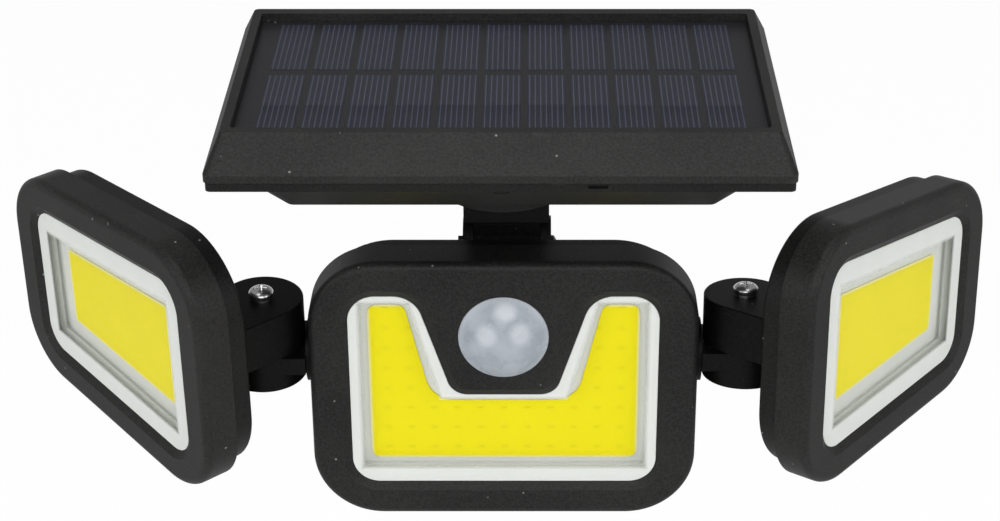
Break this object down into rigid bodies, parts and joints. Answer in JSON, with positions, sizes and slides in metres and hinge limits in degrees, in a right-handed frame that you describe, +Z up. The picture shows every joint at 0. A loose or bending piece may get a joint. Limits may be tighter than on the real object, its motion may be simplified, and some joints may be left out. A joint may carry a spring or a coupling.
{
  "type": "motion sensor security light",
  "caption": "Outdoor wall light with swivelling lamp heads, a round movement sensor in the middle head and a tilting solar panel on top.",
  "frame": {"origin": "centre of the wall plate's back face, on the wall", "axes": "+X to the right seen from the front, +Y into the wall, +Z up; the front of the light faces -Y"},
  "size_m": [0.3064, 0.1247, 0.1648],
  "materials": {
    "battery_wrap": "plain blue shrink sleeve",
    "black_plastic": "fine matte moulded plastic, black",
    "steel": "zinc-plated screws, nuts and washers",
    "board_white": "white solder mask",
    "clear_lens": "clear plastic window, glossy",
    "seal_rubber": "soft black seal",
    "phosphor_yellow": "yellow phosphor layer, even and matte",
    "white_plastic": "white inner frame, matte",
    "board_green": "green circuit board",
    "button_grey": "grey soft button",
    "sensor_white": "milky translucent white, satin",
    "panel_backing": "black laminate backing",
    "cell_blue": "dark blue-black silicon, smooth",
    "panel_cover": "clear cover sheet over the cells, smooth"
  },
  "bodies": {
    "panel": {"battery": "battery_wrap", "battery_holder": "black_plastic", "charge_board": "board_green", "panel_frame": "black_plastic", "panel_screws": "steel", "panel_seal": "seal_rubber", "panel_tray": "black_plastic", "solar_backing": "panel_backing", "solar_cells": "cell_blue", "solar_cover": "panel_cover"},
    "mount": {"bracket": "black_plastic", "hinge_bolts": "steel", "hinge_nuts": "steel", "plate_screws": "steel", "wall_plate": "black_plastic"},
    "centre_head": {"centre_bezel": "black_plastic", "centre_case_screws": "steel", "centre_led_board": "board_white", "centre_lens": "clear_lens", "centre_lens_seal": "seal_rubber", "centre_phosphor": "phosphor_yellow", "centre_rear_shell": "black_plastic", "centre_reflector": "white_plastic", "sensor_board": "board_green", "sensor_can": "steel", "sensor_dome": "sensor_white"},
    "left_arm": {"left_arm": "black_plastic", "left_arm_clip": "steel", "left_knuckle_nut": "steel", "left_knuckle_screw": "steel", "left_spring_washer": "steel"},
    "left_head": {"left_head_bezel": "black_plastic", "left_head_case_screws": "steel", "left_head_knuckle": "black_plastic", "left_head_led_board": "board_white", "left_head_lens": "clear_lens", "left_head_lens_seal": "seal_rubber", "left_head_phosphor": "phosphor_yellow", "left_head_rear_shell": "black_plastic", "left_head_reflector": "white_plastic"},
    "mode_button": {"mode_button": "button_grey"},
    "neck": {"neck_block": "black_plastic", "swivel_nut": "steel", "swivel_screw": "steel", "swivel_washer": "steel"},
    "right_arm": {"right_arm": "black_plastic", "right_arm_clip": "steel", "right_knuckle_nut": "steel", "right_knuckle_screw": "steel", "right_spring_washer": "steel"},
    "right_head": {"right_head_bezel": "black_plastic", "right_head_case_screws": "steel", "right_head_knuckle": "black_plastic", "right_head_led_board": "board_white", "right_head_lens": "clear_lens", "right_head_lens_seal": "seal_rubber", "right_head_phosphor": "phosphor_yellow", "right_head_rear_shell": "black_plastic", "right_head_reflector": "white_plastic"}
  },
  "joints": [
    {"name": "centre_head_tilt", "type": "hinge", "parent": "mount", "child": "centre_head", "pos_m": [0, -0.054, 0.031], "axis": [1, 0, 0], "range_deg": [0, 25]},
    {"name": "left_arm_roll", "type": "hinge", "parent": "centre_head", "child": "left_arm", "pos_m": [-0.0726, -0.078, 0.0389], "axis": [1, 0, 0], "range_deg": [-45, 45]},
    {"name": "right_arm_roll", "type": "hinge", "parent": "centre_head", "child": "right_arm", "pos_m": [0.0726, -0.078, 0.0389], "axis": [1, 0, 0], "range_deg": [-45, 45]},
    {"name": "left_head_swing", "type": "hinge", "parent": "left_arm", "child": "left_head", "pos_m": [-0.0726, -0.078, 0.0389], "axis": [0, -0.061, 0.9981], "range_deg": [-12, 40]},
    {"name": "right_head_swing", "type": "hinge", "parent": "right_arm", "child": "right_head", "pos_m": [0.0726, -0.078, 0.0389], "axis": [0, -0.075, -0.9972], "range_deg": [-12, 40]},
    {"name": "panel_tilt", "type": "hinge", "parent": "mount", "child": "neck", "pos_m": [0.0009, -0.062, 0.0657], "axis": [1, 0, 0], "range_deg": [-15, 18]},
    {"name": "panel_swivel", "type": "hinge", "parent": "neck", "child": "panel", "pos_m": [0, -0.07354, 0.09093], "axis": [0, -0.0332, 0.9995], "range_deg": [-60, 60]},
    {"name": "mode_button_press", "type": "slide", "parent": "panel", "child": "mode_button", "axis": [0, -0.0332, 0.9995], "range_m": [0, 0.001], "stiffness_N_per_m": 600, "springref_m": -0.0008}
  ]
}
